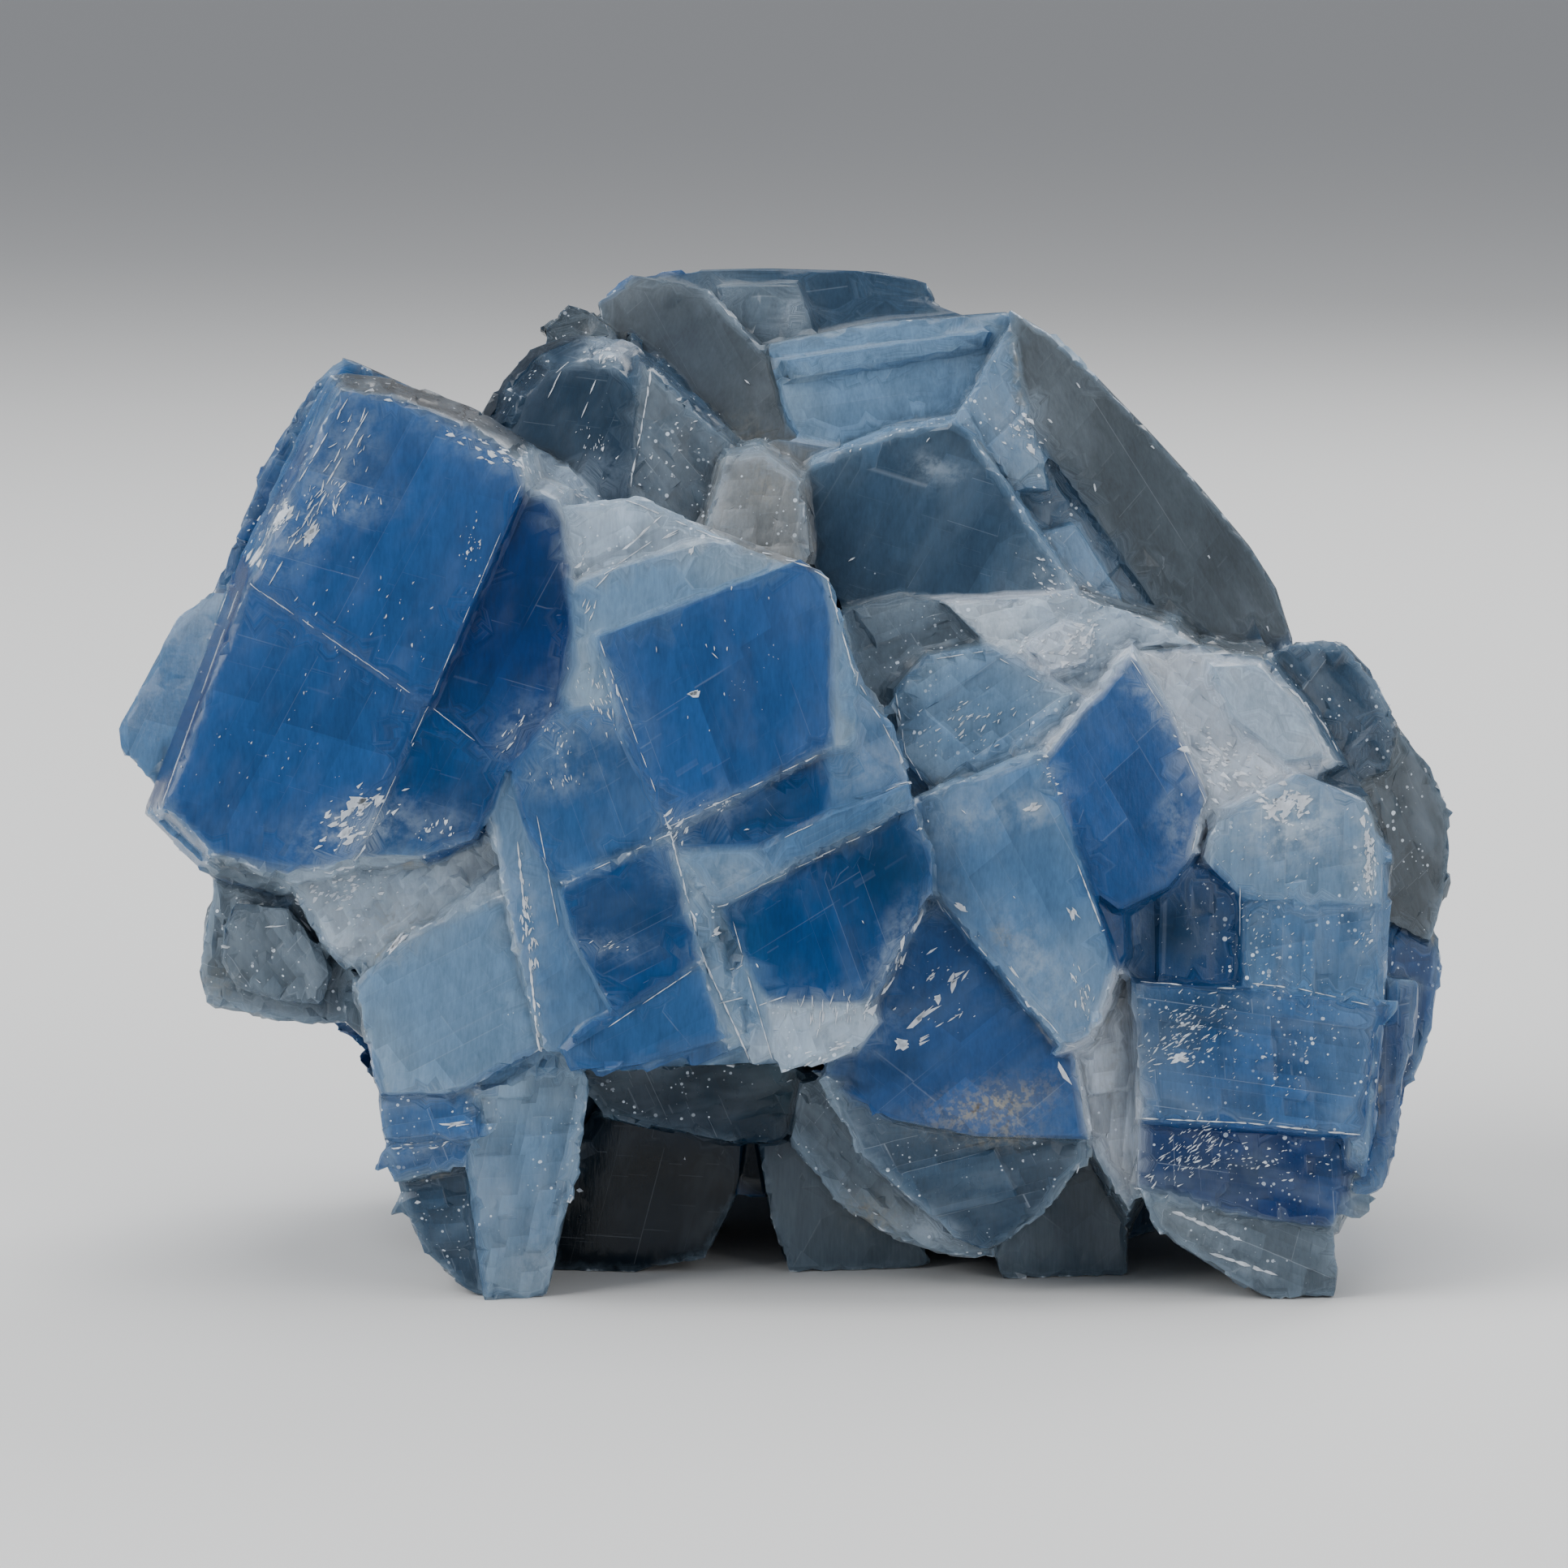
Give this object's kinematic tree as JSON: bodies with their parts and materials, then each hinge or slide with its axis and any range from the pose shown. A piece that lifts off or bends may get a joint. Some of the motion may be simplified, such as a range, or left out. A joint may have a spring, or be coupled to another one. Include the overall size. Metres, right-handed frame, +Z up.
{
  "type": "blue calcite specimen",
  "caption": "Cluster of blue calcite cleavage rhombs grown together, with stepped flat faces and white bruised edges, standing on its own broken base.",
  "frame": {"origin": "middle of the bounding box, on the surface the stone stands on", "axes": "+Z up, +X to the right as the picture shows the stone, -Y towards the viewer"},
  "size_m": [0.0836, 0.0518, 0.0619],
  "materials": {
    "calcite": "milky translucent calcite from deep blue to pale grey-blue, satin cleavage faces with glassy patches, white bruised edges and cream stain in the grooves"
  },
  "bodies": {
    "root": {"blue_calcite": "calcite"}
  },
  "joints": []
}
